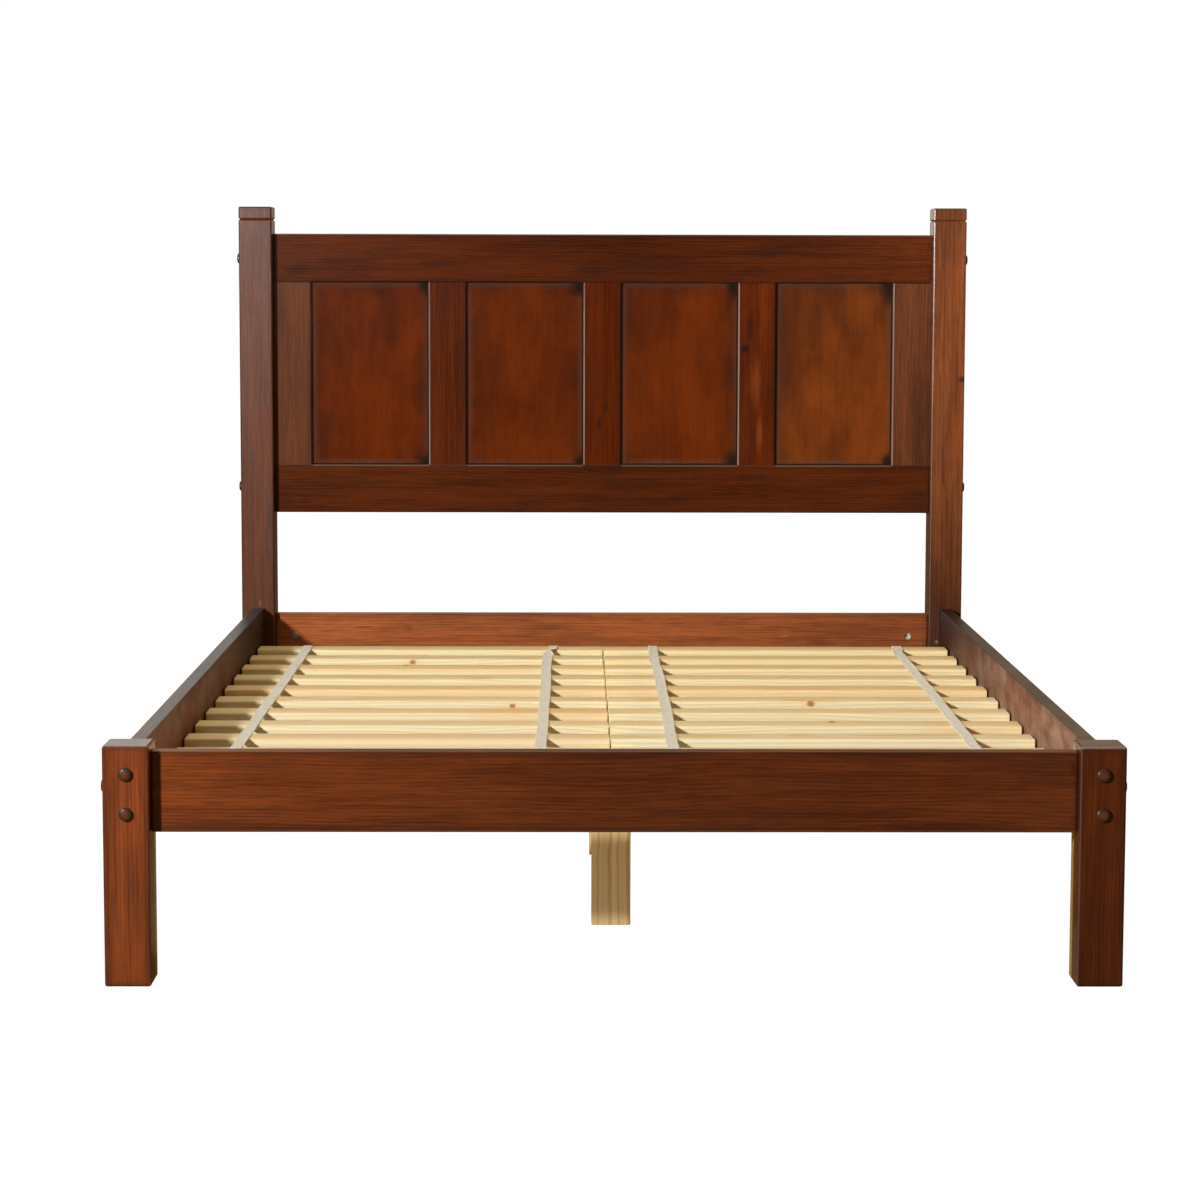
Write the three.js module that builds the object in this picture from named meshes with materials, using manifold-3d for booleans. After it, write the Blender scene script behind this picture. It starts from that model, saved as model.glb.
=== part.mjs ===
// Knock-down platform bed for a full-size mattress: panelled headboard, low foot end, two strapped slat mats.
// Millimetres, +Z up. The head end points to +Y and the origin lies on the floor under the bed's middle.

import * as THREE from 'three';
import { mergeVertices } from 'three/addons/utils/BufferGeometryUtils.js';
import { RoundedBoxGeometry } from 'three/addons/geometries/RoundedBoxGeometry.js';
import Module from 'manifold-3d';

const wasm = await Module();
wasm.setup();

// Mattress well
const mattressWidth = 1372;
const mattressLength = 1905;
const mattressSideGap = 6;
const mattressEndGap = 6;
const wellDepth = 63;

// Posts
const postWidth = 67;
const postDepth = 76;
const headPostHeight = 1158;
const footPostHeight = 352;
const postEase = 3;
const kerfDrop = 25.5;
const kerfWidth = 6;
const kerfDepth = 3;

// Rails between the posts
const railThickness = 25;
const railHeight = 119;
const railDrop = 10.5;
const headRailHeight = 94;
const headRailDrop = 24;
const railEase = 2;

// Panelled headboard
const headboardDrop = 54;
const headboardHeight = 567.5;
const crossRailHeight = 98;
const uprightWidth = 78;
const panelCount = 4;
const panelThickness = 9;
const tongueLength = 10;
const frameEase = 1.5;
const openingEase = 3;

// Slats, straps and what they lie on
const slatCount = 11;
const slatWidth = 64;
const slatThickness = 19;
const slatEase = 5;
const slatHeadMargin = 151;
const slatFootMargin = 212;
const slatEndGap = 3;
const slatMiddleGap = 4;
const strapWidth = 18;
const strapThickness = 1.6;
const strapFromMiddle = 101;
const strapFromRail = 108;
const ledgerWidth = 30;
const ledgerHeight = 36;
const ledgerSetback = 90;
const beamWidth = 62;
const beamHeight = 24;
const cleatWidth = 110;
const cleatThickness = 22;
const cleatFloor = 12;
const rawEase = 2;

// Legs under the beam
const legCount = 3;
const legDepth = 40;
const firstLegSetback = 400;
const legSpacing = 599;

// Bed bolts with barrel nuts
const capDiameter = 20;
const capRise = 6.7;
const capShoulder = 3.5;
const capCrown = 0.8;
const capSink = 1;
const shankDiameter = 8;
const nutDiameter = 14;
const nutLength = 18;
const nutSetback = 39;
const shankOverhang = 12;
const boltSpread = 58;
const footRailBoltLift = 7;
const topRailBoltDrop = 50;
const bottomRailBoltDrop = 45;
const boreClearance = 0.5;

// Clearances and mesh fineness
const jointGap = 0.3;
const seatGap = 0.3;
const cutOverrun = 5;
const easeSteps = 1;
const roundSteps = 16;
const shoulderSteps = 3;

// Places worked out from the sizes above
const railInset = (postWidth - railThickness) / 2;
const endInset = (postDepth - railThickness) / 2;
const wellWidth = mattressWidth + 2 * mattressSideGap;
const wellLength = mattressLength + 2 * mattressEndGap;
const bedWidth = wellWidth + 2 * (railThickness + railInset);
const bedLength = wellLength + 2 * (railThickness + endInset);
const postX = (bedWidth - postWidth) / 2;
const postY = (bedLength - postDepth) / 2;
const postGapX = bedWidth - 2 * postWidth;
const postGapY = bedLength - 2 * postDepth;
const railTop = footPostHeight - railDrop;
const railMiddle = railTop - railHeight / 2;
const headRailMiddle = footPostHeight - headRailDrop - headRailHeight / 2;
const slatTop = railTop - wellDepth;
const slatBottom = slatTop - slatThickness;
const slatPitch = (wellLength - slatHeadMargin - slatFootMargin - slatWidth) / (slatCount - 1);
const ledgerTop = slatBottom - seatGap;
const lowerBolt = railMiddle - boltSpread / 2;
const upperBolt = railMiddle + boltSpread / 2;
const footRailBolt = railMiddle + footRailBoltLift;
const headboardTop = headPostHeight - headboardDrop;
const headboardBottom = headboardTop - headboardHeight;
const openingBottom = headboardBottom + crossRailHeight;
const openingHeight = headboardHeight - 2 * crossRailHeight;
const openingMiddle = openingBottom + openingHeight / 2;

const bed = new THREE.Group();

// Finishes
function finish(color, roughness, metalness) {
  return new THREE.MeshStandardMaterial({ color, roughness, metalness });
}
const cherry = () => finish(0x6b2f1a, 0.38, 0);
const cherryPanel = () => finish(0x7c3518, 0.4, 0);
const rawPine = () => finish(0xe6cf9c, 0.6, 0);
const laminatedPine = () => finish(0xb9985c, 0.65, 0);
const webbing = () => finish(0xd8d4cb, 0.9, 0);
const darkCap = () => finish(0x3a2016, 0.35, 0);

// Solids and meshes
function solid(geometry) {
  const bare = geometry.index ? geometry.toNonIndexed() : geometry.clone();
  bare.deleteAttribute('normal');
  bare.deleteAttribute('uv');
  bare.clearGroups();
  const merged = mergeVertices(bare);
  const vertProperties = new Float32Array(merged.attributes.position.array);
  const triVerts = new Uint32Array(merged.index.array);
  return new wasm.Manifold(new wasm.Mesh({ numProp: 3, vertProperties, triVerts }));
}

function geometryOf(body) {
  const mesh = body.getMesh();
  const geometry = new THREE.BufferGeometry();
  geometry.setAttribute('position', new THREE.BufferAttribute(mesh.vertProperties, mesh.numProp));
  geometry.setIndex(new THREE.BufferAttribute(mesh.triVerts, 1));
  const flat = geometry.toNonIndexed();
  flat.computeVertexNormals();
  return flat;
}

function cut(body, cutters) {
  return cutters.reduce((left, cutter) => left.subtract(cutter), body);
}

function place(name, geometry, material, x, y, z) {
  const mesh = new THREE.Mesh(geometry, material);
  mesh.name = name;
  mesh.position.set(x, y, z);
  bed.add(mesh);
}

// A sawn board with all its arrises eased
function board(sizeX, sizeY, sizeZ, ease) {
  return new RoundedBoxGeometry(sizeX, sizeY, sizeZ, easeSteps, ease);
}

// A round rod along X or Y, from the point "at", for "length" in the direction "way"
function rod(axis, diameter, length, at, way = 1) {
  const geometry = new THREE.CylinderGeometry(diameter / 2, diameter / 2, length, roundSteps);
  if (axis === 'x') geometry.rotateZ(-Math.PI / 2);
  const middle = new THREE.Vector3(...at);
  middle[axis] += way * length / 2;
  geometry.translate(middle.x, middle.y, middle.z);
  return solid(geometry);
}

// The outline of a button cap that stands off a post: from the axis over its crown and shoulder to its rim
function capProfile() {
  const radius = capDiameter / 2;
  const crownEdge = jointGap + capRise - capCrown;
  const profile = [new THREE.Vector2(0, jointGap + capRise)];
  for (let step = 0; step <= shoulderSteps; step += 1) {
    const turn = (step / shoulderSteps) * Math.PI / 2;
    const out = radius - capShoulder * (1 - Math.sin(turn));
    profile.push(new THREE.Vector2(out, crownEdge - capShoulder * (1 - Math.cos(turn))));
  }
  return profile;
}

// A turned piece whose profile runs from its top on the axis round to its foot on the axis
function turned(profile) {
  return new THREE.LatheGeometry([...profile].reverse(), roundSteps);
}

// A cap let into a post's face at "at", bulging along the axis
function capOn(axis, at, way) {
  const sunk = [new THREE.Vector2(capDiameter / 2, -capSink), new THREE.Vector2(0, -capSink)];
  const geometry = turned([...capProfile(), ...sunk]);
  if (way < 0) geometry.rotateX(Math.PI);
  if (axis === 'x') geometry.rotateZ(-Math.PI / 2);
  geometry.translate(...at);
  return solid(geometry);
}

// The V-shaped kerf that runs round a head post under its top
function kerfCutters() {
  const level = headPostHeight / 2 - kerfDrop;
  const notch = (reach) => new THREE.Shape([
    new THREE.Vector2(reach - kerfDepth, level),
    new THREE.Vector2(reach + kerfDepth, level - kerfWidth),
    new THREE.Vector2(reach + kerfDepth, level + kerfWidth),
  ]);
  const run = (shape, length) => new THREE.ExtrudeGeometry(shape, { depth: length, bevelEnabled: false })
    .translate(0, 0, -length / 2)
    .rotateX(Math.PI / 2);
  const alongY = () => run(notch(postWidth / 2), postDepth + 2 * cutOverrun);
  const alongX = () => run(notch(postDepth / 2), postWidth + 2 * cutOverrun).rotateZ(Math.PI / 2);
  return [alongY(), alongY().rotateZ(Math.PI), alongX(), alongX().rotateZ(Math.PI)].map(solid);
}

// Head post: the caps of its five bolts are one piece with it
function headPost(side) {
  const toMiddle = headPostHeight / 2;
  let body = cut(solid(board(postWidth, postDepth, headPostHeight, postEase)), kerfCutters());
  const sideLevels = [headboardTop - topRailBoltDrop, openingBottom - bottomRailBoltDrop, headRailMiddle];
  for (const level of sideLevels) {
    body = body.add(capOn('x', [side * postWidth / 2, 0, level - toMiddle], side));
  }
  for (const level of [lowerBolt, upperBolt]) {
    body = body.add(capOn('y', [0, postDepth / 2, level - toMiddle], 1));
  }
  return geometryOf(body);
}

// Foot post: bored for two bolts into the side rail and one into the foot rail
function footPost(side) {
  const bore = shankDiameter + 2 * boreClearance;
  const toMiddle = footPostHeight / 2;
  const alongY = postDepth + 2 * cutOverrun;
  const alongX = postWidth + 2 * cutOverrun;
  const cutters = [lowerBolt, upperBolt].map((level) => (
    rod('y', bore, alongY, [0, -alongY / 2, level - toMiddle])
  ));
  cutters.push(rod('x', bore, alongX, [-alongX / 2, 0, footRailBolt - toMiddle]));
  return geometryOf(cut(solid(board(postWidth, postDepth, footPostHeight, postEase)), cutters));
}

// Cutters for one bolt in a rail's end: the bore along the rail and the barrel nut's hole from its inner face
function boltCutters(runAxis, end, inner, railHalf, level) {
  const bore = shankDiameter + 2 * boreClearance;
  const depth = nutSetback + shankOverhang + boreClearance;
  const nutHole = railThickness / 2 + nutLength / 2 + boreClearance;
  const fromEnd = end * (railHalf + cutOverrun);
  const nutAt = end * (railHalf - nutSetback);
  const face = inner * (railThickness / 2 + cutOverrun);
  const boreStart = runAxis === 'x' ? [fromEnd, 0, level] : [0, fromEnd, level];
  const nutStart = runAxis === 'x' ? [nutAt, face, level] : [face, nutAt, level];
  return [
    rod(runAxis, bore, depth + cutOverrun, boreStart, -end),
    rod(runAxis === 'x' ? 'y' : 'x', nutDiameter + 2 * boreClearance, nutHole + cutOverrun, nutStart, -inner),
  ];
}

function sideRail(side) {
  const length = postGapY - 2 * jointGap;
  const cutters = [];
  for (const end of [-1, 1]) {
    for (const level of [-boltSpread / 2, boltSpread / 2]) {
      cutters.push(...boltCutters('y', end, -side, length / 2, level));
    }
  }
  return geometryOf(cut(solid(board(railThickness, length, railHeight, railEase)), cutters));
}

function endRail(height, inner, boltLift) {
  const length = postGapX - 2 * jointGap;
  const cutters = [-1, 1].flatMap((end) => boltCutters('x', end, inner, length / 2, boltLift));
  return geometryOf(cut(solid(board(length, railThickness, height, railEase)), cutters));
}

// Bed bolt with its barrel nut screwed on. It lies along Y, its cap at the origin and its shank towards +Y.
function bedBolt(postSize) {
  const shankRadius = shankDiameter / 2;
  const shankLength = postSize + jointGap + nutSetback + shankOverhang;
  const profile = capProfile();
  profile.push(new THREE.Vector2(capDiameter / 2, jointGap));
  profile.push(new THREE.Vector2(shankRadius, jointGap));
  profile.push(new THREE.Vector2(shankRadius, -shankLength));
  profile.push(new THREE.Vector2(0, -shankLength));
  const bolt = solid(turned(profile).rotateX(Math.PI));
  const nut = rod('x', nutDiameter, nutLength, [-nutLength / 2, postSize + jointGap + nutSetback, 0]);
  return geometryOf(bolt.add(nut));
}

function addPosts() {
  for (const [word, side] of [['left', -1], ['right', 1]]) {
    place(`head_post_${word}`, headPost(side), cherry(), side * postX, postY, headPostHeight / 2);
    place(`foot_post_${word}`, footPost(side), cherry(), side * postX, -postY, footPostHeight / 2);
  }
}

function addRails() {
  const railX = wellWidth / 2 + railThickness / 2;
  const railY = wellLength / 2 + railThickness / 2;
  place('side_rail_left', sideRail(-1), cherry(), -railX, 0, railMiddle);
  place('side_rail_right', sideRail(1), cherry(), railX, 0, railMiddle);
  place('foot_rail', endRail(railHeight, 1, footRailBoltLift), cherry(), 0, -railY, railMiddle);
  place('head_rail', endRail(headRailHeight, -1, 0), cherry(), 0, railY, headRailMiddle);
}

function addBolts() {
  for (const [word, side] of [['left', -1], ['right', 1]]) {
    const cornerY = -bedLength / 2;
    place(`side_rail_bolt_${word}_upper`, bedBolt(postDepth), darkCap(), side * postX, cornerY, upperBolt);
    place(`side_rail_bolt_${word}_lower`, bedBolt(postDepth), darkCap(), side * postX, cornerY, lowerBolt);
    const cross = bedBolt(postWidth).rotateZ(side * Math.PI / 2);
    place(`foot_rail_bolt_${word}`, cross, darkCap(), side * bedWidth / 2, -postY, footRailBolt);
  }
}

// The cutter of a groove for tongues, in the edge of a headboard member that lies along X
function grooveBlock(length, edge, way) {
  const width = panelThickness + 2 * jointGap;
  const depth = tongueLength + jointGap;
  const slot = new THREE.BoxGeometry(length + 2 * cutOverrun, width, depth + cutOverrun);
  return slot.translate(0, 0, edge - way * (depth - cutOverrun) / 2);
}

function grooveAlongX(length, edge, way) {
  return solid(grooveBlock(length, edge, way));
}

function grooveAlongZ(length, edge, way) {
  return solid(grooveBlock(length, edge, way).rotateY(Math.PI / 2));
}

// Cutters that chamfer the front and back arris of an edge that runs along X at the level "edge"
function openingChamfers(length, edge) {
  const across = openingEase * Math.SQRT2;
  const bar = () => new THREE.BoxGeometry(length, across, across).rotateX(Math.PI / 4);
  return [-1, 1].map((face) => bar().translate(0, face * railThickness / 2, edge));
}

// A cross rail of the headboard: square and grooved where the uprights join it, chamfered at each opening
function crossRail(length, openWidth, way) {
  const tall = board(length, railThickness, crossRailHeight + frameEase, frameEase);
  const stock = solid(tall.translate(0, 0, way * frameEase / 2));
  const spare = new THREE.BoxGeometry(length + 2 * cutOverrun, railThickness + 2 * cutOverrun, cutOverrun);
  const edge = way * crossRailHeight / 2;
  const trim = solid(spare.translate(0, 0, edge + way * cutOverrun / 2));
  const cutters = [trim, grooveAlongX(length, edge, way)];
  for (let index = 0; index < panelCount; index += 1) {
    const x = -postGapX / 2 + uprightWidth + openWidth / 2 + index * (openWidth + uprightWidth);
    cutters.push(...openingChamfers(openWidth, edge).map((bar) => solid(bar.translate(x, 0, 0))));
  }
  return geometryOf(cut(stock, cutters));
}

// Headboard: two cross rails, five uprights tongued into them and four floating panels
function addHeadboard() {
  const railLength = postGapX - 2 * jointGap;
  const openWidth = (postGapX - (panelCount + 1) * uprightWidth) / panelCount;
  const topRail = crossRail(railLength, openWidth, -1);
  const bottomRail = crossRail(railLength, openWidth, 1);
  const topMiddle = headboardTop - crossRailHeight / 2;
  const bottomMiddle = headboardBottom + crossRailHeight / 2;
  place('headboard_top_rail', topRail, cherry(), 0, postY, topMiddle);
  place('headboard_bottom_rail', bottomRail, cherry(), 0, postY, bottomMiddle);

  for (let index = 0; index <= panelCount; index += 1) {
    const first = index === 0;
    const last = index === panelCount;
    const x = -postGapX / 2 + uprightWidth / 2 + index * (openWidth + uprightWidth);
    const trim = first || last ? jointGap : 0;
    const shift = (first ? trim : -trim) / 2;
    const body = upright(uprightWidth - trim, !first, !last);
    place(uprightName(index), geometryOf(body), cherry(), x + shift, postY, openingMiddle);
  }
  for (let index = 0; index < panelCount; index += 1) {
    const x = -postGapX / 2 + uprightWidth + openWidth / 2 + index * (openWidth + uprightWidth);
    const panel = new THREE.BoxGeometry(openWidth + 2 * tongueLength - 2 * jointGap, panelThickness,
      openingHeight + 2 * tongueLength - 2 * jointGap);
    place(`headboard_panel_${index + 1}`, panel, cherryPanel(), x, postY, openingMiddle);
  }
}

function uprightName(index) {
  if (index === 0) return 'headboard_stile_left';
  if (index === panelCount) return 'headboard_stile_right';
  return `headboard_mullion_${index}`;
}

// An upright with stub tongues at both ends, grooved and chamfered along the edges that hold a panel
function upright(width, grooveLeft, grooveRight) {
  const height = openingHeight - 2 * jointGap;
  const block = solid(new THREE.BoxGeometry(width, railThickness, height));
  const chamfers = (edge) => openingChamfers(height, edge).map((bar) => solid(bar.rotateY(Math.PI / 2)));
  const inset = tongueLength + jointGap;
  const leftInset = grooveLeft ? inset : 0;
  const rightInset = grooveRight ? inset : 0;
  const tongue = new THREE.BoxGeometry(width - leftInset - rightInset, panelThickness,
    openingHeight + 2 * (tongueLength - jointGap));
  tongue.translate((leftInset - rightInset) / 2, 0, 0);
  const cutters = [];
  if (grooveLeft) cutters.push(grooveAlongZ(height, -width / 2, -1), ...chamfers(-width / 2));
  if (grooveRight) cutters.push(grooveAlongZ(height, width / 2, 1), ...chamfers(width / 2));
  return cut(block, cutters).add(solid(tongue));
}

// Ledgers on the side rails, the beam down the middle and the cleats that hold its ends
function addSupports() {
  const ledgerX = wellWidth / 2 - ledgerWidth / 2;
  const ledgerLength = wellLength - 2 * ledgerSetback;
  for (const [word, side] of [['left', -1], ['right', 1]]) {
    const strip = board(ledgerWidth, ledgerLength, ledgerHeight, rawEase);
    place(`side_ledger_${word}`, strip, rawPine(), side * ledgerX, 0, ledgerTop - ledgerHeight / 2);
  }
  const beamLength = wellLength - 2 * jointGap;
  const beamMiddle = ledgerTop - beamHeight / 2;
  place('center_beam', board(beamWidth, beamLength, beamHeight, rawEase), rawPine(), 0, 0, beamMiddle);

  const cleatHeight = beamHeight + cleatFloor;
  const cleatY = wellLength / 2 - cleatThickness / 2;
  for (const [word, end] of [['foot', -1], ['head', 1]]) {
    place(`beam_cleat_${word}`, cleat(cleatHeight), rawPine(), 0, end * cleatY, ledgerTop - cleatHeight / 2);
  }
}

function cleat(height) {
  const notchWidth = beamWidth + 2 * jointGap;
  const notchDepth = beamHeight + jointGap;
  const notch = new THREE.BoxGeometry(notchWidth, cleatThickness + 2 * cutOverrun, notchDepth + cutOverrun);
  notch.translate(0, 0, height / 2 - (notchDepth - cutOverrun) / 2);
  return geometryOf(cut(solid(board(cleatWidth, cleatThickness, height, rawEase)), [solid(notch)]));
}

function addLegs() {
  const legHeight = ledgerTop - beamHeight - jointGap;
  for (let index = 0; index < legCount; index += 1) {
    const y = -wellLength / 2 + firstLegSetback + index * legSpacing;
    const leg = board(beamWidth, legDepth, legHeight, rawEase);
    place(`support_leg_${index + 1}`, leg, laminatedPine(), 0, y, legHeight / 2);
  }
}

// Two mats of loose slats, each held together by two straps over the slats
function addSlatMats() {
  const slatLength = (wellWidth - slatMiddleGap) / 2 - slatEndGap;
  const slatX = slatMiddleGap / 2 + slatLength / 2;
  const lastSlatY = wellLength / 2 - slatHeadMargin - slatWidth / 2;
  const matLength = (slatCount - 1) * slatPitch + slatWidth;
  const matY = lastSlatY - (slatCount - 1) * slatPitch / 2;
  const strapPlaces = { inner: strapFromMiddle, outer: wellWidth / 2 - strapFromRail };
  for (const [word, side] of [['left', -1], ['right', 1]]) {
    for (let index = 0; index < slatCount; index += 1) {
      const y = lastSlatY - (slatCount - 1 - index) * slatPitch;
      const number = String(index + 1).padStart(2, '0');
      const slat = board(slatLength, slatWidth, slatThickness, slatEase);
      place(`slat_${word}_${number}`, slat, rawPine(), side * slatX, y, slatBottom + slatThickness / 2);
    }
    for (const [which, x] of Object.entries(strapPlaces)) {
      const strap = new THREE.BoxGeometry(strapWidth, matLength - 2 * slatEase, strapThickness);
      place(`strap_${word}_${which}`, strap, webbing(), side * x, matY, slatTop + strapThickness / 2);
    }
  }
}

addPosts();
addRails();
addBolts();
addHeadboard();
addSupports();
addLegs();
addSlatMats();

export default bed;
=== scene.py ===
"""Finishes, small fittings and studio of a cherry-stained platform bed with two strapped slat mats."""

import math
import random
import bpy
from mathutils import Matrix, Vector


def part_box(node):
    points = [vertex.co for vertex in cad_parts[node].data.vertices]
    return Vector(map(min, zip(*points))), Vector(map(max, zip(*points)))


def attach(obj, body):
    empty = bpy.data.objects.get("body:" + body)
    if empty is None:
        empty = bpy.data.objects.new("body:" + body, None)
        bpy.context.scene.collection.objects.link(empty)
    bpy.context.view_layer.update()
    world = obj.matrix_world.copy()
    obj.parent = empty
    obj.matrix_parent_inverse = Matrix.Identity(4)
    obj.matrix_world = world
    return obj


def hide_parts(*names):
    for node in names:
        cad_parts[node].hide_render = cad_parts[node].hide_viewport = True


bl_info = {
    "name": "Platform Bed",
    "version": (1, 0, 0),
    "blender": (4, 5, 0),
    "location": "3D View > Sidebar > Bed",
    "description": "Dresses the packed platform bed: stain, raw pine, straps, bolts, nuts, screws and studio",
    "category": "Object",
}

import bmesh
import bpy
from bpy.props import FloatProperty, FloatVectorProperty, IntProperty, PointerProperty
from mathutils import Euler, Matrix, Vector

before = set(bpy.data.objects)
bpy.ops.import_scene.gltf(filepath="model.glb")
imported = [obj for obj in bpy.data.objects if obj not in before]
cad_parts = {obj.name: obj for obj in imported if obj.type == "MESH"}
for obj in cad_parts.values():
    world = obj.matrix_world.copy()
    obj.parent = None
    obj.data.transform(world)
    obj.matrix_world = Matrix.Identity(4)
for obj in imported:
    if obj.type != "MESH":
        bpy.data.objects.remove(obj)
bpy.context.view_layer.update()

MM = 0.001
# Edges flatter than this are shaded smooth
SMOOTH_BELOW = math.radians(38)
SIDES = (("left", -1), ("right", 1))
# Turns that lay a board's grain along X, by the axis that it follows
TURNS = {
    "x": (0.0, 0.0, 0.0),
    "y": (0.0, 0.0, -math.pi / 2),
    "z": (0.0, math.pi / 2, 0.0),
}
UPRIGHTS = ("headboard_stile_left", "headboard_mullion_1", "headboard_mullion_2", "headboard_mullion_3",
            "headboard_stile_right")
PANELS = tuple(f"headboard_panel_{number}" for number in range(1, 5))
# Stained nodes: the axis that their grain follows, how light each is at places along it, and how much
# redder than the rest it is. Along the side rails the lightness fades into painted shade towards the head end.
STAINED = {
    "head_post_left": ("z", ((0.0, 0.95), (1.0, 0.98)), -0.5),
    "head_post_right": ("z", ((0.3, 0.86), (0.5, 1.45), (1.0, 2.32)), -0.9),
    "foot_post_left": ("z", ((0.0, 1.85), (1.0, 2.60)), 0.6),
    "foot_post_right": ("z", ((0.0, 0.82), (1.0, 0.92)), 1.2),
    # The side rails are lighter at the foot end and fade into painted shade at the head end
    "side_rail_left": ("y", ((0.0, 2.1), (0.5, 1.1), (0.85, 0.2)), 0.7),
    "side_rail_right": ("y", ((0.0, 2.0), (0.5, 1.25), (0.9, 0.3)), -0.4),
    "foot_rail": ("x", ((0.0, 2.12), (0.2, 1.38), (0.45, 1.06), (0.8, 0.92), (1.0, 1.38)), 0.3),
    "head_rail": ("x", ((0.0, 2.55), (0.2, 2.50), (1.0, 2.00)), -0.6),
    "headboard_top_rail": ("x", ((0.0, 0.84), (0.2, 0.72), (0.55, 0.54), (0.8, 0.72), (1.0, 1.14)), 0.5),
    "headboard_bottom_rail": ("x", ((0.0, 0.74), (0.5, 0.55), (1.0, 0.68)), 0.3),
    "headboard_stile_left": ("z", ((0.0, 0.91), (1.0, 0.98)), -0.5),
    "headboard_mullion_1": ("z", ((0.0, 0.82), (1.0, 0.82)), 1.0),
    "headboard_mullion_2": ("z", ((0.0, 0.70), (1.0, 0.76)), 1.6),
    "headboard_mullion_3": ("z", ((0.0, 0.86), (1.0, 1.02)), 1.5),
    "headboard_stile_right": ("z", ((0.0, 1.00), (1.0, 1.12)), -0.8),
}
# Tone and redness of each panel
PANEL_TONES = ((0.67, -0.2), (0.65, -0.4), (0.71, -0.3), (0.97, -1.7))
# Darkest and lightest tone along a board, the darkest being that of the painted shade at a side rail's head end
DARKEST_TONE = 0.2
LIGHTEST_TONE = 2.6
# The axis across the face of a board whose grain follows the key
RIM_AXIS = {"x": 2, "y": 2, "z": 0}
# How rough the lacquer is, how rough on the top face, how much it mirrors and how uneven it lies
LACQUERS = {
    "post": (0.25, 0.25, 0.45, 0.05 * MM),
    "side": (0.58, 0.36, 0.22, 0.05 * MM),
    "foot": (0.15, 0.50, 0.32, 0.02 * MM),
    "head": (0.20, 0.40, 0.35, 0.03 * MM),
    "headboard": (0.12, 0.50, 0.40, 0.02 * MM),
}
# How much glaze lies on the top faces
TOP_GLAZE = {"post": 0.5, "headboard": 0.5, "side": 0.7}
# Painted highlights and painted shade lines along front arrises, lighter where an arris faces the light and darker
# where it faces away: across which axis, at its low (0) or high (1) end, how wide, with which paint and how much
# Painted shade line down the left side of an opening, painted highlight down its right side
SHADED_LEFT = (0, 1, 4 * MM, "glaze", 0.85)
LIT_RIGHT = (0, 0, 3 * MM, "worn", 0.90)
ARRISES = {
    "headboard_stile_left": (SHADED_LEFT,),
    "headboard_mullion_1": (SHADED_LEFT, LIT_RIGHT),
    "headboard_mullion_2": (SHADED_LEFT, LIT_RIGHT),
    "headboard_mullion_3": (SHADED_LEFT, LIT_RIGHT),
    "headboard_stile_right": (LIT_RIGHT,),
    "headboard_top_rail": ((2, 1, 2.5 * MM, "worn", 0.35), (2, 0, 3 * MM, "glaze", 0.60)),
    "headboard_bottom_rail": ((2, 1, 2 * MM, "worn", 0.07), (2, 0, 2 * MM, "glaze", 0.30)),
    "foot_rail": ((2, 1, 2 * MM, "worn", 0.10), (2, 0, 3 * MM, "worn", 0.16)),
    "foot_post_left": ((2, 1, 3 * MM, "glaze", 0.30),),
    "foot_post_right": ((2, 1, 3 * MM, "worn", 0.60), (0, 0, 2 * MM, "worn", 0.20)),
}
# How much painted grey-pink sheen lies on the side rails, in smudges where they are lighter
SHEEN_SHARES = {"side_rail_left": 0.45, "side_rail_right": 0.80}
# Dark blotches, knots, light flames beside them, scuffs, painted sheen on the end stiles and a painted shadow
# on the left head post, on the front faces: X, Z, half their width and height in millimetres, with which paint and
# how much
BLOTCHES = {
    # Painted sheen over the end stiles
    "headboard_stile_left": ((-650, 820, 300, 900, "smudge", 0.08),),
    "headboard_stile_right": ((650, 820, 300, 900, "smudge", 0.04),),
    "headboard_mullion_2": ((-7, 720, 8, 22, "glaze", 0.6), (6, 755, 7, 15, "glaze", 0.5),
                            (-12, 660, 6, 20, "glaze", 0.4)),
    "headboard_mullion_3": ((290, 872, 16, 16, "glaze", 0.85), (301, 915, 9, 40, "glaze", 0.6),
                            (312, 800, 14, 70, "flame", 0.5), (320, 700, 10, 45, "flame", 0.4)),
    "head_post_right": ((735, 812, 12, 7, "glaze", 0.8), (722, 690, 10, 70, "flame", 0.4),
                        (712, 1000, 14, 90, "flame", 0.3), (688, 273, 5, 6, "worn", 1.0)),
    # A scuff, and a painted shadow cast by the side rail on the post's face beside it
    "head_post_left": ((-701, 352, 4, 7, "worn", 0.4), (-682, 285, 20, 90, "glaze", 0.5)),
    "headboard_top_rail": ((-620, 1030, 35, 14, "glaze", 0.55), (-330, 1045, 50, 10, "glaze", 0.35),
                           (-20, 1035, 45, 18, "glaze", 0.45), (310, 1030, 40, 14, "glaze", 0.40)),
    "headboard_bottom_rail": ((-620, 600, 30, 10, "glaze", 0.4), (300, 610, 50, 9, "glaze", 0.35)),
    "foot_rail": ((0, 332, 100, 5, "glaze", 0.45), (260, 306, 160, 6, "glaze", 0.30),
                  (665, 316, 14, 26, "glaze", 0.60), (-450, 228, 250, 6, "glaze", 0.50),
                  (-180, 310, 90, 4, "glaze", 0.35), (500, 232, 120, 7, "glaze", 0.40)),
    "head_rail": ((-400, 300, 20, 16, "glaze", 0.35), (480, 325, 60, 6, "glaze", 0.30),
                  (378, 282, 12, 2.5, "worn", 0.5)),
}
# How far the glaze darkens the left and the right side of each panel
PANEL_HAZES = ((0.36, 0.50), (0.34, 0.34), (0.32, 0.45), (0.38, 0.12))
SLAT_COUNT = 11
SLAT_NAMES = tuple(f"slat_{word}_{number:02d}" for word, side in SIDES for number in range(1, SLAT_COUNT + 1))
STRAP_NAMES = tuple(f"strap_{word}_{place}" for word, side in SIDES for place in ("inner", "outer"))

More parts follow.
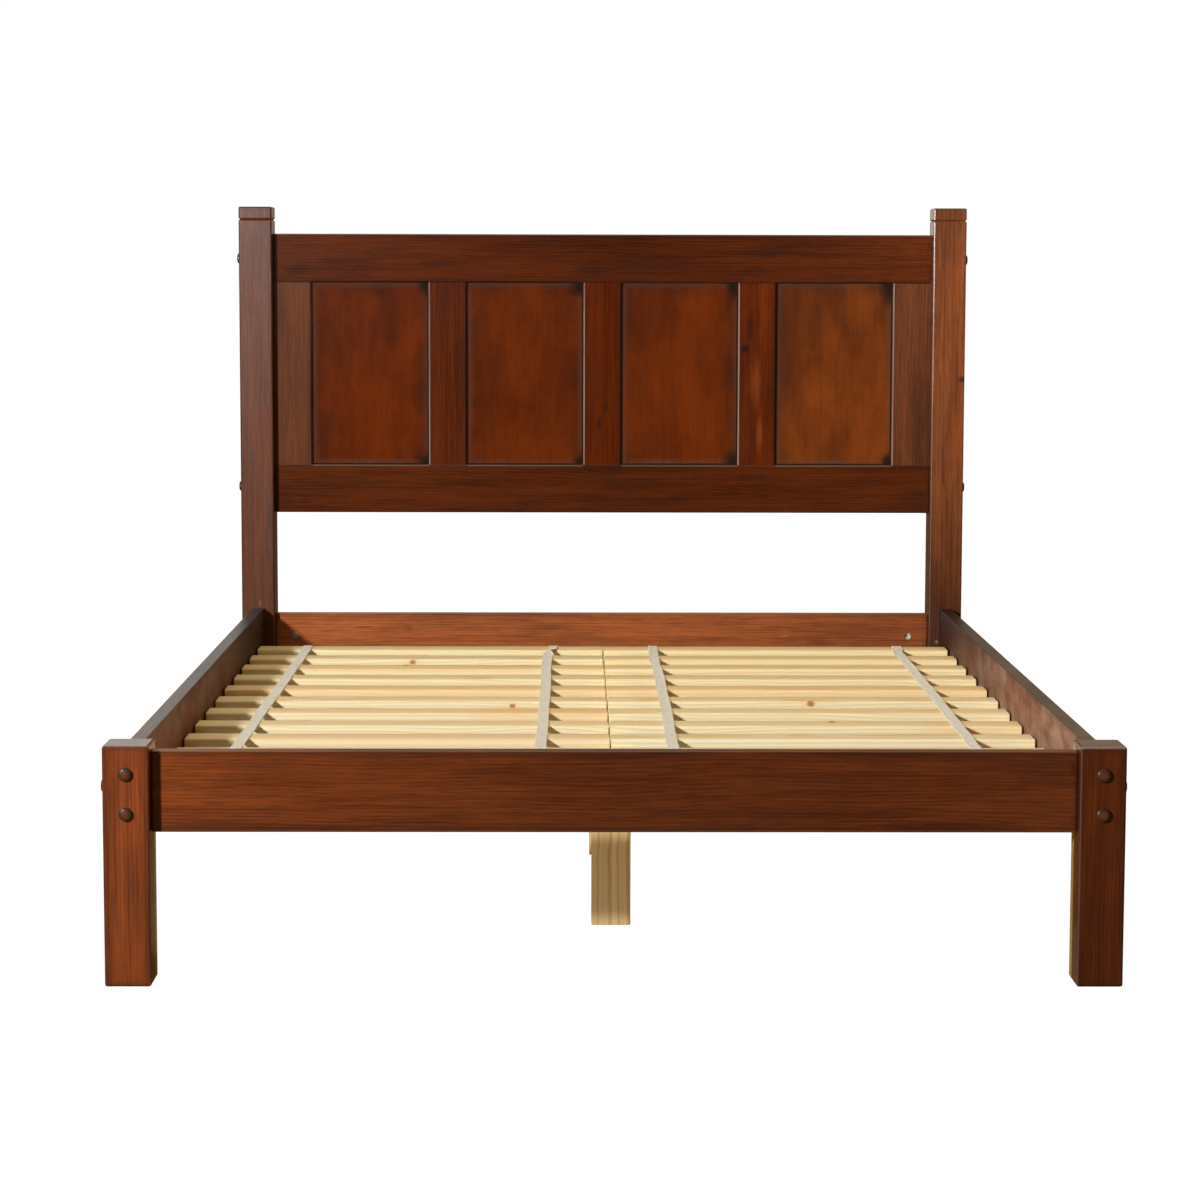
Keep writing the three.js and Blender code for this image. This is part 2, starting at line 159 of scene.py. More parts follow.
# Straight parts of a bent slat, and cuts across and along a tape
SLAT_PARTS = 8
TAPE_PARTS = (6, 330)
# A tape's waves sideways, in radians to the metre, with their shares, and those of its ruffled edges
TAPE_WAVES = ((5.1, 0.6), (13.7, 0.4))
RUFFLE_TURN = 61
# How long a kink is, how sharply a tape steps aside there, and how far a narrowed tape folds up
KINK_LENGTH = 28 * MM
KINK_STEP = 8 * MM
KINK_FOLD = 4 * MM
# How far a staple lies off its tape's and off its slat's middle, and how far it is turned
STAPLE_SCATTER = (1 * MM, 9 * MM)
STAPLE_TURN = 0.5
# How far each strap lies off its solid's middle at its foot end and at its head end
STRAP_LEANS = {
    "strap_left_inner": (-10 * MM, -9 * MM),
    "strap_left_outer": (-7 * MM, -4 * MM),
    "strap_right_inner": (-2 * MM, 0 * MM),
    "strap_right_outer": (-5 * MM, 3 * MM),
}
# Where a strap is kinked: its Y, how far it steps aside beyond, and how wide it is there
STRAP_KINKS = {
    "strap_left_inner": ((0.725, 11 * MM, 0.45),),
    "strap_left_outer": ((-0.730, -3 * MM, 1.30),),
    "strap_right_inner": ((0.490, -1 * MM, 0.85),),
    "strap_right_outer": ((0.740, 5 * MM, 1.00),),
}


def setting(kind, **fixed):
    """A kind of setting that still needs its name, description and default."""
    def make(name, description, default):
        return kind(name=name, description=description, default=default, **fixed)
    return make


color = setting(FloatVectorProperty, subtype="COLOR", min=0, max=1)
spot = setting(FloatVectorProperty, subtype="TRANSLATION", unit="LENGTH")
length = setting(FloatProperty, unit="LENGTH", min=0)
angle = setting(FloatProperty, unit="ROTATION")
power = setting(FloatProperty, unit="POWER", min=0)
share = setting(FloatProperty, subtype="FACTOR", min=0, max=1)


class StainSettings(bpy.types.PropertyGroup):
    """The cherry stain and lacquer of posts, rails and headboard."""

    light: color("Light stain", "Stain over the open grain", (0.158, 0.0330, 0.0064))
    dark: color("Dark stain", "Stain in the dense grain", (0.050, 0.0095, 0.0022))
    panel_light: color("Light panel stain", "Stain at a panel's middle", (0.212, 0.0370, 0.0048))
    panel_dark: color("Dark panel stain", "Stain in a panel's dense grain", (0.094, 0.0155, 0.0028))
    # Besides glaze, this colour paints shade: dark lines along arrises that face away from the light, and the
    # shadow of the left side rail on the left head post
    glaze: color("Glaze", "Dark glaze left in corners and against edges", (0.0120, 0.0078, 0.0062))
    # Besides scuffs, this colour paints the highlights along arrises that catch the light
    worn: color("Worn arris", "Pale line where the stain wore off an arris", (0.300, 0.190, 0.150))
    dust: color("Dust", "Dull haze along a panel's edges", (0.105, 0.048, 0.032))
    flame: color("Flame", "Bright grain beside a knot", (0.300, 0.065, 0.012))
    # Painted sheen: grey-pink smudges over the side rails' inner faces and over the end stiles
    smudge: color("Smudge", "Grey-pink smudges inside the side rails", (0.340, 0.220, 0.160))
    glaze_width: length("Glaze width", "How far the glaze reaches in from a panel's edge", 22 * MM)
    line_width: length("Line width", "Width of the dark line where a panel meets its frame", 4 * MM)
    rim_width: length("Rim width", "How far the glaze reaches in from a rail's or post's edge", 16 * MM)
    ring_pitch: length("Ring pitch", "Distance between growth rings", 5.5 * MM)


class PineSettings(bpy.types.PropertyGroup):
    """The raw pine of slats, ledgers, beam, cleats and legs."""

    early: color("Earlywood", "Pale spring growth", (0.800, 0.762, 0.545))
    late: color("Latewood", "Tan summer growth", (0.740, 0.560, 0.270))
    heart: color("Heartwood", "Pinkish boards and streaks", (0.810, 0.560, 0.300))
    knot: color("Knot", "Red-brown knots", (0.360, 0.130, 0.045))
    # Makes the slats darker and yellower towards the head end
    yellowed: color("Yellowing", "What age takes off the slats at the head end", (0.930, 0.890, 0.780))
    leg: color("Laminated leg", "Pale wood of the glued-up legs", (0.900, 0.700, 0.370))
    stripe: color("Leg stripe", "Dense grain and glue lines of the legs", (0.660, 0.370, 0.120))
    ring_pitch: length("Ring pitch", "Distance between growth rings", 6 * MM)
    slat_ease: length("Slat rounding", "Radius of a slat's rounded edges", 5 * MM)
    end_ease: length("Slat end easing", "Easing of a slat's sawn ends", 0.7 * MM)
    slat_short: length("Slat end scatter", "How unevenly the slats are cut to length", 1.2 * MM)
    slat_long: length("Slat overlength", "How much further than the solids the slats reach to the middle", 1.2 * MM)
    slat_bow: length("Slat bow", "How far a slat bends sideways over its length", 1.5 * MM)


class StrapSettings(bpy.types.PropertyGroup):
    """The woven tapes that hold the slats at their pitch."""

    tape: color("Tape", "Undyed polyester tape", (0.832, 0.888, 0.888))
    shade: color("Weave shade", "Shade between the ribs of the weave", (0.668, 0.692, 0.648))
    thickness: length("Thickness", "Thickness of a tape", 1.3 * MM)
    sag: length("Sag", "How far a tape hangs down between two slats", 0.9 * MM)
    drift: length("Drift", "How far a tape wanders sideways", 1.2 * MM)
    ruffle: length("Ruffle", "How far a tape's edges curl up", 0.35 * MM)
    clearance: length("Clearance", "Distance from the slats to the tapes", 0.1 * MM)
    rib: length("Rib pitch", "Distance between the ribs of the weave", 1.5 * MM)
    staple: length("Staple", "Width of a staple's crown", 5 * MM)
    staple_wire: length("Staple wire", "Thickness of a staple's wire", 0.9 * MM)


class FittingSettings(bpy.types.PropertyGroup):
    """Bolts, caps, barrel nuts and screws."""

    cap: color("Cap", "Dark brown button caps", (0.042, 0.019, 0.009))
    crown: color("Crown", "Redder paint on a cap's crown", (0.150, 0.033, 0.011))
    zinc: color("Zinc", "Zinc-plated nuts and screws", (0.660, 0.630, 0.540))
    cap_diameter: length("Cap diameter", "Diameter of a button cap", 20 * MM)
    cap_rise: length("Cap rise", "How far a cap stands off its post", 7 * MM)
    cap_crown: length("Cap crown", "Height of a cap's crown above its shoulder", 0.8 * MM)
    cap_shoulder: length("Cap shoulder", "Radius of a cap's shoulder", 3.5 * MM)
    cap_cover: length("Cap cover", "Distance a fine cap stands off the solid that it covers", 0.15 * MM)
    cap_sink: length("Cap sink", "How deep a head post's cap is let in", 0.5 * MM)
    shank: length("Shank", "Diameter of a bolt's shank", 8 * MM)
    shank_overhang: length("Shank overhang", "How far a shank reaches past its nut's axis", 12 * MM)
    nut: length("Nut diameter", "Diameter of a barrel nut", 14 * MM)
    nut_length: length("Nut length", "Length of a barrel nut", 18 * MM)
    nut_setback: length("Nut setback", "Distance from a rail's end to its barrel nuts", 39 * MM)
    nut_socket: length("Nut socket", "Radius of the hole in a barrel nut's end", 4.8 * MM)
    screw_head: length("Screw head", "Diameter of a countersunk screw head", 9 * MM)
    round_steps: IntProperty(name="Round steps", description="Steps in a full turn", default=48, min=12)


class StudioSettings(bpy.types.PropertyGroup):
    """Camera, lights and floor."""

    eye: spot("Eye", "Place of the camera", (-0.0642, -5.4859, 1.0378))
    yaw: angle("Yaw", "Turn of the camera to the left", math.radians(-0.5346))
    pitch: angle("Pitch", "Tilt of the camera downwards", math.radians(6.0382))
    roll: angle("Roll", "Turn of the camera about its view", math.radians(0.1360))
    lens: FloatProperty(name="Lens", description="Focal length in millimetres on a 36 mm sensor", default=94.40,
                        min=1)
    key: spot("Key", "Place of the key light", (-2.36, -3.65, 1.68))
    key_size: length("Key size", "Side of the key light", 0.26)
    key_power: power("Key power", "Strength of the key light", 190)
    key_reach: length("Key reach", "Distance at which the key light has its stated strength", 4.15)
    top: spot("Top", "Place of the overhead light", (0.2, 0.6, 3.4))
    top_size: length("Top size", "Side of the overhead light", 3.0)
    top_power: power("Top power", "Strength of the overhead light", 46)
    top_color: color("Top color", "Color of the overhead light", (1.0, 0.80, 0.48))
    room: color("Room light", "Diffuse light from all round", (0.500, 0.290, 0.130))
    mirror_left: color("Mirrored left", "Backdrop on the left, in reflections", (0.700, 0.700, 0.665))
    mirror_right: color("Mirrored right", "Backdrop on the right, in reflections", (0.340, 0.270, 0.190))
    front: share("Front share", "How much of the room's light comes from the camera's side", 0.055)
    front_sheen: share("Front sheen", "How much more the camera's side mirrors than it lights", 0.055)
    side_sheen: share("Side sheen", "How much more the far sides mirror in the headboard's ends", 0.25)
    floor: color("Floor", "Color of the floor", (0.85, 0.85, 0.85))
    floor_bounce: color("Floor bounce", "What the floor throws back onto the bed", (0.245, 0.190, 0.098))
    floor_glow: share("Floor glow", "How evenly white the floor looks", 0.92)


def math_node(operation, swapped=False):
    """An operator or method of a signal that adds a Math node."""
    def work_out(signal, other=None):
        values = (other, signal) if swapped else (signal,) if other is None else (signal, other)
        return signal.finish.node("Math", {"operation": operation}, dict(enumerate(values)))
    return work_out


class Signal:
    """A socket of a material's nodes that takes part in Python sums."""

    def __init__(self, finish, socket):
        self.finish = finish
        self.socket = socket

    __add__ = math_node("ADD")
    __radd__ = math_node("ADD", True)
    __sub__ = math_node("SUBTRACT")
    __rsub__ = math_node("SUBTRACT", True)
    __mul__ = math_node("MULTIPLY")
    __rmul__ = math_node("MULTIPLY", True)
    __truediv__ = math_node("DIVIDE")
    __abs__ = math_node("ABSOLUTE")
    fract = math_node("FRACT")
    floor = math_node("FLOOR")
    sine = math_node("SINE")
    root = math_node("SQRT")
    least = math_node("MINIMUM")
    most = math_node("MAXIMUM")

    def ramp(self, low, high, start=0.0, end=1.0):
        """Goes smoothly from start to end while the value goes from low to high."""
        settings = {"interpolation_type": "SMOOTHSTEP", "clamp": True}
        values = {"Value": self, "From Min": low, "From Max": high, "To Min": start, "To Max": end}
        return self.finish.node("MapRange", settings, values)

    def fade(self, low, high, start=1.0):
        """Goes smoothly from start to 0 while the value goes from low to high."""
        return self.ramp(low, high, start, 0.0)


def reach_of(*offsets):
    """Distance from a point that lies this far off in each direction."""
    total = offsets[0] * offsets[0]
    for offset in offsets[1:]:
        total = total + offset * offset
    return total.root()


class Finish:
    """The nodes of a material or world in the making."""

    def __init__(self, tree):
        self.tree = tree
        self.tree.nodes.clear()
        self.place = self.node("TexCoord", {}, {}, "Object")

    def node(self, kind, settings, values, output=0):
        """Adds a node: first its settings, then the values or links of its sockets."""
        made = self.tree.nodes.new("ShaderNode" + kind)
        for key, value in settings.items():
            if key == "stops":
                self.set_stops(made.color_ramp, value)
            else:
                setattr(made, key, value)
        for key, value in values.items():
            if isinstance(value, Signal):
                self.tree.links.new(value.socket, made.inputs[key])
            else:
                made.inputs[key].default_value = value
        return Signal(self, made.outputs[output]) if made.outputs else None

    def set_stops(self, ramp, stops):
        for number, (position, level) in enumerate(stops):
            stop = ramp.elements[number] if number < 2 else ramp.elements.new(position)
            stop.position = position
            stop.color = (level, level, level, 1.0)

    def axes(self, vector):
        return [self.node("SeparateXYZ", {}, {0: vector}, letter) for letter in "XYZ"]

    def shifted(self, vector, shift):
        """Moves a pattern by a fixed distance."""
        return self.node("VectorMath", {"operation": "ADD"}, {0: vector, 1: shift})

    def strewn(self, vector, seed):
        """Moves the figure of each board to another place in the noise."""
        return self.shifted(vector, (seed * 3.7, seed * 1.3, seed * 2.1))

    def board(self, node, run):
        """Object coordinates turned so that X follows the grain, from the middle of a node."""
        turn = Euler(TURNS[run])
        middle = turn.to_matrix() @ middle_of(node)
        values = {"Vector": self.place, "Rotation": TURNS[run], "Location": -middle}
        return self.node("Mapping", {}, values)

    def noise(self, vector, stretch, detail=2.0, roughness=0.5):
        """Noise with so many waves to the metre along each axis."""
        waves = self.node("VectorMath", {"operation": "MULTIPLY"}, {0: vector, 1: stretch})
        return self.node("TexNoise", {}, {"Vector": waves, "Scale": 1.0, "Detail": detail, "Roughness": roughness})

    def ray(self, kind):
        """1 for a ray of that kind and 0 for others."""
        return self.node("LightPath", {}, {}, f"Is {kind} Ray")

    def random(self, number):
        return self.node("TexWhiteNoise", {"noise_dimensions": "1D"}, {"W": number}, "Value")

    def mix(self, part, first, second, blend="MIX"):
        """Mixes two colors, each of them a signal or three numbers."""
        first, second = (paint if isinstance(paint, Signal) else (*paint, 1.0) for paint in (first, second))
        settings = {"data_type": "RGBA", "blend_type": blend, "clamp_factor": True}
        return self.node("Mix", settings, {0: part, 6: first, 7: second}, 2)

    def bump(self, height, distance):
        return self.node("Bump", {}, {"Height": height, "Distance": distance})

    def surface(self, paint, roughness, relief, depth, constants=()):
        """Ends a material with a principled shader and a relief this deep."""
        values = {"Base Color": paint, "Roughness": roughness, "Normal": self.bump(relief, depth)}
        values.update(constants)
        shader = self.node("BsdfPrincipled", {}, values)
        self.node("OutputMaterial", {}, {"Surface": shader})

    def rings(self, board, pitch, seed, spread=0.05):
        """Growth rings across a board: 0 in the pale wood and 1 in the dense wood."""
        draw = random.Random(seed)
        heart = (draw.uniform(-0.03, 0.03), draw.choice((-1, 1)) * draw.uniform(0.05, 0.11))
        across, through = self.axes(board)[1:]
        apart = self.shifted(board, (draw.uniform(10, 90) / 1.5, 0, 0))
        wander = (self.noise(apart, (1.5, 4, 4)) - 0.5) * spread
        far_across = across - heart[0] + wander
        far_through = through - heart[1] + wander
        phase = (reach_of(far_across, far_through) / pitch).fract()
        return phase.ramp(0.15, 0.80) - phase.ramp(0.84, 1.0)


def new_finish(name):
    material = bpy.data.materials.new(name)
    material.use_nodes = True
    return material, Finish(material.node_tree)


# How green and blue follow the tone of a stain, and how far redness takes them down
TONE_GAINS = (1.0, 1.18, 1.45)
REDNESS_CUTS = (0.0, 0.20, 0.40)


def toned(stain, tone, redness=0.0):
    """A stain color made lighter or darker. A lighter stain is also less red."""
    levels = zip(stain, TONE_GAINS, REDNESS_CUTS)
    return tuple(min(1.0, level * (1 - cut * redness) * tone ** gain) for level, gain, cut in levels)


def middle_of(node):
    """Middle of a CAD node's box."""
    low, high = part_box(node)
    return (low + high) / 2


def dress(node, material):
    """Gives a CAD node its finish."""
    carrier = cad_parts[node]
    if not carrier.material_slots:
        raise RuntimeError(f"{node} has no material slot")
    for slot in carrier.material_slots:
        slot.material = material


# Layers of the grain from wide to fine: how many to the metre along and across it, their detail and roughness,
# between which values the noise goes from 0 to 1, and their share
GRAIN = (
    (2.4, 24, 4.0, 0.60, 0.34, 0.68, 0.28),
    (1.8, 80, 4.0, 0.65, 0.32, 0.68, 0.20),
    (6.0, 310, 3.0, 0.60, 0.36, 0.64, 0.23),
    (30.0, 330, 2.0, 0.60, 0.34, 0.66, 0.15),
)
RING_SHARE = 0.14


def inside(place, low, high):
    """How far a coordinate lies in from the nearer of two ends."""
    return (place - low).least(high - place)


def figure(finish, strewn, rings):
    """How dense the grain is and where its dark pores lie, both from 0 to 1."""
    dense = rings * RING_SHARE
    for along, across, detail, roughness, low, high, part in GRAIN:
        dense = dense + finish.noise(strewn, (along, across, across), detail, roughness).ramp(low, high) * part
    pores = finish.noise(strewn, (14, 560, 560), 1.0, 0.5).ramp(0.56, 0.72)
    return dense.ramp(0.02, 0.98), pores


def stained_board(node, run, tones, redness, seed):
    """Stained and lacquered pine of a post, rail or upright."""
    stain = bpy.context.scene.bed_stain
    material, finish = new_finish("cherry_" + node)
    word = "post" if "post" in node else node.split("_")[0]
    board = finish.board(node, run)
    strewn = finish.strewn(board, seed)
    dense, pores = figure(finish, strewn, finish.rings(board, stain.ring_pitch, seed))
    clouds = finish.noise(strewn, (3.2, 15, 15), 4.0, 0.6)
    darkest = finish.mix(dense, toned(stain.light, DARKEST_TONE, redness), toned(stain.dark, DARKEST_TONE, redness))
    lightest = finish.mix(dense, toned(stain.light, LIGHTEST_TONE, redness), toned(stain.dark, LIGHTEST_TONE * 1.3, redness))
    low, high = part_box(node)
    axis = "xyz".index(run)
    place = finish.axes(finish.place)
    along = (place[axis] - low[axis]) / (high[axis] - low[axis])
    # Lightness along the board, which on the side rails carries painted shade
    stops = [(at, (tone - DARKEST_TONE) / (LIGHTEST_TONE - DARKEST_TONE)) for at, tone in tones]
    lightness = finish.node("ValToRGB", {"stops": stops}, {0: along})
    wood = finish.mix(lightness, darkest, lightest)
    if word == "side":
        wood = smudged(finish, node, strewn, wood, lightness)
    to_rim, to_end = (inside(place[one], low[one], high[one]) for one in (RIM_AXIS[run], axis))
    rim = to_rim.least(to_end).fade(0, stain.rim_width, 0.50)
    cloudy = 0.50 if word == "headboard" else 0.38
    glazed = (clouds.ramp(0.46, 0.72) * cloudy).most(rim * clouds.ramp(0.3, 0.6)).most(pores * 0.45)
    in_front = (place[1] - low.y).fade(6 * MM, 22 * MM)
    for x, z, wide, tall, paint, part in BLOTCHES.get(node, ()):
        far = reach_of((place[0] - x * MM) / (wide * MM), (place[2] - z * MM) / (tall * MM)) + (clouds - 0.5) * 1.2
        blotch = far.fade(0.2, 1.1, part) * in_front
        # Glaze blotches, and on the left head post a painted shadow
        if paint == "glaze":
            glazed = glazed.most(blotch)
        else:
            wood = finish.mix(blotch, wood, getattr(stain, paint))
    wood = finish.mix(glazed, wood, stain.glaze)
    # Painted highlights and painted shade lines along the front arrises
    for across_axis, end, width, paint, part in ARRISES.get(node, ()):
        edge = abs(place[across_axis] - (low, high)[end][across_axis]).fade(width * 0.8, width * 1.1, part)
        front = abs(place[1] - low.y).fade(width, width * 1.2)
        wood = finish.mix(edge * front * clouds.ramp(0.3, 0.6, 0.6, 1.0), wood, getattr(stain, paint))
    if node.startswith("foot_post"):
        wood = bare_patch(finish, node, wood)
    top = place[2].ramp(high.z - 0.5 * MM, high.z - 0.2 * MM)
    wood = finish.mix(top * TOP_GLAZE.get(word, 0.0), wood, stain.glaze)
    rough, rough_top, mirror, uneven = LACQUERS[word]
    roughness = (clouds - 0.5) * 0.08 + pores * 0.06 + top * (rough_top - rough) + rough
    finish.surface(wood, roughness, (dense * 0.7 - pores * 0.3) * uneven, 1.0, {"Specular IOR Level": mirror})
    return material


def smudged(finish, node, strewn, wood, lightness):
    """Painted grey-pink sheen in smudges on a side rail, more where the rail is lighter, and dark smudges of the
    wiped stain.
    """
    stain = bpy.context.scene.bed_stain
    sheen_noise = finish.noise(strewn, (4.5, 10, 10), 5.0, 0.65)
    left_over = finish.noise(finish.shifted(strewn, (40, 0, 0)), (14, 7, 7), 5.0, 0.7)
    # Grey-pink painted sheen where the rail is lighter
    wood = finish.mix(sheen_noise.ramp(0.34, 0.60) * lightness.ramp(0.0, 0.6) * SHEEN_SHARES[node], wood, stain.smudge)
    return finish.mix(left_over.ramp(0.48, 0.74) * 0.50, wood, stain.glaze)


def bare_patch(finish, node, wood):
    """Leaves the strip of a foot post's inner face that lies behind the foot rail unstained."""
    pine = bpy.context.scene.bed_pine
    low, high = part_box(node)
    inner = high.x if high.x < 0 else low.x
    rail_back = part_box("foot_rail")[1].y
    x, y, z = finish.axes(finish.place)
    near_face = abs(x - inner).fade(0.6 * MM, 1.2 * MM)
    behind = y.ramp(rail_back - 0.5 * MM, rail_back + 0.5 * MM)
    below_top = z.fade(high.z - 6 * MM, high.z - 4 * MM)
    return finish.mix(near_face * behind * below_top * 0.8, wood, toned(pine.late, 0.55))


def opening_of(number):
    """Lowest and highest X and Z of the opening that shows a panel."""
    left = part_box(UPRIGHTS[number])[1].x
    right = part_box(UPRIGHTS[number + 1])[0].x
    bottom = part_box("headboard_bottom_rail")[1].z
    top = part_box("headboard_top_rail")[0].z
    return left, right, bottom, top


def stained_panel(number, seed):
    """Stained panel with the dark glaze that stays in its corners and against its edges."""
    stain = bpy.context.scene.bed_stain
    node = PANELS[number]
    material, finish = new_finish("cherry_" + node)
    board = finish.board(node, "z")
    strewn = finish.strewn(board, seed)
    grain, pores = figure(finish, strewn, finish.rings(board, stain.ring_pitch * 2, seed, 0.08))
    clouds = finish.noise(strewn, (7, 12, 12), 4.0, 0.62)
    strokes = finish.noise(strewn, (9, 30, 30), 4.0, 0.6).ramp(0.30, 0.70)
    dense = clouds.ramp(0.32, 0.68) * 0.46 + strokes * 0.32 + grain * 0.22
    tone, redness = PANEL_TONES[number]
    rough, _, mirror, uneven = LACQUERS["headboard"]
    wood = finish.mix(dense, toned(stain.panel_light, tone, redness), toned(stain.panel_dark, tone, redness))
    left, right, bottom, top = opening_of(number)
    x, z = finish.axes(finish.place)[::2]
    from_right = right - x
    from_bottom = z - bottom
    from_side = inside(x, left, right)
    from_end = inside(z, bottom, top)
    from_dark_end = from_bottom.least((top - z) * 0.7)
    patchy = clouds.ramp(0.34, 0.66)
    width = stain.glaze_width
    dusty = from_side.least(from_end).fade(0, width * 0.8, 0.8) * (patchy * 0.7 + 0.3)
    wood = finish.mix(dusty, wood, stain.dust)
    line = from_right.least(from_bottom * 1.2).fade(stain.line_width * 0.6, stain.line_width * 1.2, 0.95)
    reach = (patchy + 1) * width
    corner = (reach_of(from_right, from_dark_end) / reach).fade(0.30, 1.15)
    far_corner = (reach_of(from_side, from_end) / reach).fade(0.15, 0.8, 0.12)
    left_haze, right_haze = PANEL_HAZES[number]
    haze = (x - left).fade(width * 0.34, width * 3.4, left_haze).most(from_right.fade(0, width * 2.6, right_haze))
    haze = haze.most((top - z).fade(0, width * 2.2, 0.40)) * (patchy * 0.9 + 0.2)
    haze = haze.most(clouds.ramp(0.54, 0.80) * 0.35)
    glazed = line.most(corner).most(far_corner).most(haze).most(pores * 0.25)
    wood = finish.mix(glazed * 0.92, wood, stain.glaze)
    roughness = (clouds - 0.5) * 0.08 - glazed * 0.03 + rough
    finish.surface(wood, roughness, (dense * 0.7 - pores * 0.3) * uneven, 1.0, {"Specular IOR Level": mirror})
    return material


# Knots of the slats and how far each reaches
SLAT_KNOTS = (
    ((-0.372, 0.598, 0.272), 9 * MM),
    ((-0.378, 0.500, 0.2785), 8 * MM),
    ((-0.166, 0.001, 0.270), 7 * MM),
    ((0.358, 0.000, 0.274), 8 * MM),
    ((0.375, -0.250, 0.2785), 7 * MM),
)
# Slats of pinkish heartwood: which slat from the foot end, and from which X to which
PINK_SLATS = ((7, -0.69, 0.69), (5, -0.22, 0.0), (4, 0.54, 0.69))


def slat_rows():
    """Lowest and highest corner of the first slat, and the distance from slat to slat."""
    low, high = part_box("slat_left_01")
    return low, high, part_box("slat_left_02")[0].y - low.y


def slat_pine():
    """Raw planed pine of the slats, another board every pitch and on each side of the middle."""
    pine = bpy.context.scene.bed_pine
    material, finish = new_finish("raw_pine_slats")
    low, high, pitch = slat_rows()
    x, y, z = finish.axes(finish.place)
    row = (y - (low.y + high.y) / 2) / pitch + 0.5
    number = row.floor()
    cell = number + x.ramp(-1 * MM, 1 * MM) * 50
    first_draw = finish.random(cell + 0.37)
    second_draw = finish.random(cell + 17.81)
    across = (row.fract() - 0.5) * pitch
    strewn = finish.shifted(finish.place, (11.0, 3.0, 5.0))
    spread = finish.noise(strewn, (1.6, 6.7, 6), 2.0) - 0.5
    far_across = across - (first_draw - 0.5) * 0.09 + spread * 0.06
    far_through = z - low.z + 0.03 + second_draw * 0.07 + spread * 0.05
    phase = (reach_of(far_across, far_through) / pine.ring_pitch).fract()
    rings = phase.ramp(0.25, 0.85) - phase.ramp(0.88, 1.0)
    fibers = finish.noise(strewn, (10, 600, 600), 2.0, 0.6).ramp(0.30, 0.70)
    streaks = finish.noise(strewn, (2.0, 70, 70), 3.0, 0.6).ramp(0.45, 0.80)
    wood = finish.mix(rings * 0.70 + fibers * 0.15, pine.early, pine.late)
    pink = first_draw.ramp(0.55, 1.0) * 0.30 + streaks * 0.30
    for slat, left, right in PINK_SLATS:
        in_row = abs(row - slat + 0.5).fade(0.42, 0.48)
        pink = pink + in_row * x.ramp(left - 0.04, left + 0.02) * x.fade(right - 0.002, right + 0.002) * 0.5
    wood = finish.mix(pink.least(0.9), wood, pine.heart)
    ripple = (finish.noise(strewn, (60, 90, 90), 2.0) - 0.5) * 5 * MM
    for (knot_x, knot_y, knot_z), reach in SLAT_KNOTS:
        far = reach_of((x - knot_x) * 0.7, (y - knot_y) * 0.447, z - knot_z) + ripple
        wood = finish.mix(far.fade(reach * 0.6, reach * 2.4, 0.45), wood, pine.heart)
        wood = finish.mix(far.fade(reach * 0.35, reach * 0.75, 0.9), wood, pine.knot)
    # Darker and yellower towards the head end
    wood = finish.mix(row.ramp(0.5, 9.0), wood, pine.yellowed, "MULTIPLY")
    finish.surface(wood, 0.50 + fibers * 0.10 - rings * 0.06, rings * 0.4 + fibers * 0.6, 0.15 * MM)
    return material


def rough_pine(node, run, seed):
    """Raw pine of a ledger, beam or cleat."""
    pine = bpy.context.scene.bed_pine
    material, finish = new_finish("raw_pine_" + node)
    board = finish.board(node, run)
    strewn = finish.strewn(board, seed)
    rings = finish.rings(board, pine.ring_pitch, seed)
    fibers = finish.noise(strewn, (10, 600, 600), 2.0, 0.6).ramp(0.30, 0.70)
    wood = finish.mix(rings * 0.6 + fibers * 0.2, pine.early, pine.late)
    finish.surface(wood, 0.56 + fibers * 0.10, rings * 0.4 + fibers * 0.6, 0.2 * MM)
    return material


# Stripes of a leg: where across it, how wide, and how dark
LEG_STRIPES = ((0.16, 0.050, 0.8), (0.30, 0.020, 0.4), (0.46, 0.075, 1.0), (0.67, 0.040, 0.8), (0.92, 0.080, 1.0))


def laminated_pine(node, seed):
    """A leg glued up from upright strips of pine."""
    pine = bpy.context.scene.bed_pine
    material, finish = new_finish("laminated_" + node)
    low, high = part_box(node)
    x = finish.axes(finish.place)[0]
    strewn = finish.strewn(finish.place, seed)
    wavy = (finish.noise(strewn, (6, 6, 14), 2.0) - 0.5) * 0.16
    across = (x - low.x) / (high.x - low.x) + wavy
    streaks = finish.noise(strewn, (160, 160, 3), 3.0, 0.6).ramp(0.30, 0.70)
    fibers = finish.noise(strewn, (700, 700, 12), 2.0, 0.6).ramp(0.30, 0.70)
    dense = streaks * 0.25
    for at, width, dark in LEG_STRIPES:
        dense = dense.most(abs(across - at).fade(width * 0.2, width, dark) * (streaks * 0.4 + 0.6))
    wood = finish.mix(dense, pine.leg, pine.stripe)
    finish.surface(wood, 0.52 + fibers * 0.12, fibers * 0.6 + streaks * 0.4, 0.15 * MM)
    return material


def woven_tape():
    """Undyed woven tape with ribs across it."""
    strap = bpy.context.scene.bed_straps
    material, finish = new_finish("woven_tape")
    x, y = finish.axes(finish.place)[:2]
    turn = 2 * math.pi / strap.rib
    over = (x * turn).sine() * (y * turn).sine()
    ribs = over.ramp(-0.8, 0.8)
    dirt = finish.noise(finish.place, (60, 22, 60), 3.0, 0.6)
    thread = finish.mix(ribs, strap.shade, strap.tape)
    thread = finish.mix(dirt.ramp(0.5, 0.85) * 0.4, thread, strap.shade)
    finish.surface(thread, 0.72 + dirt * 0.15, over, 0.2 * MM, {"Sheen Weight": 0.25})
    return material


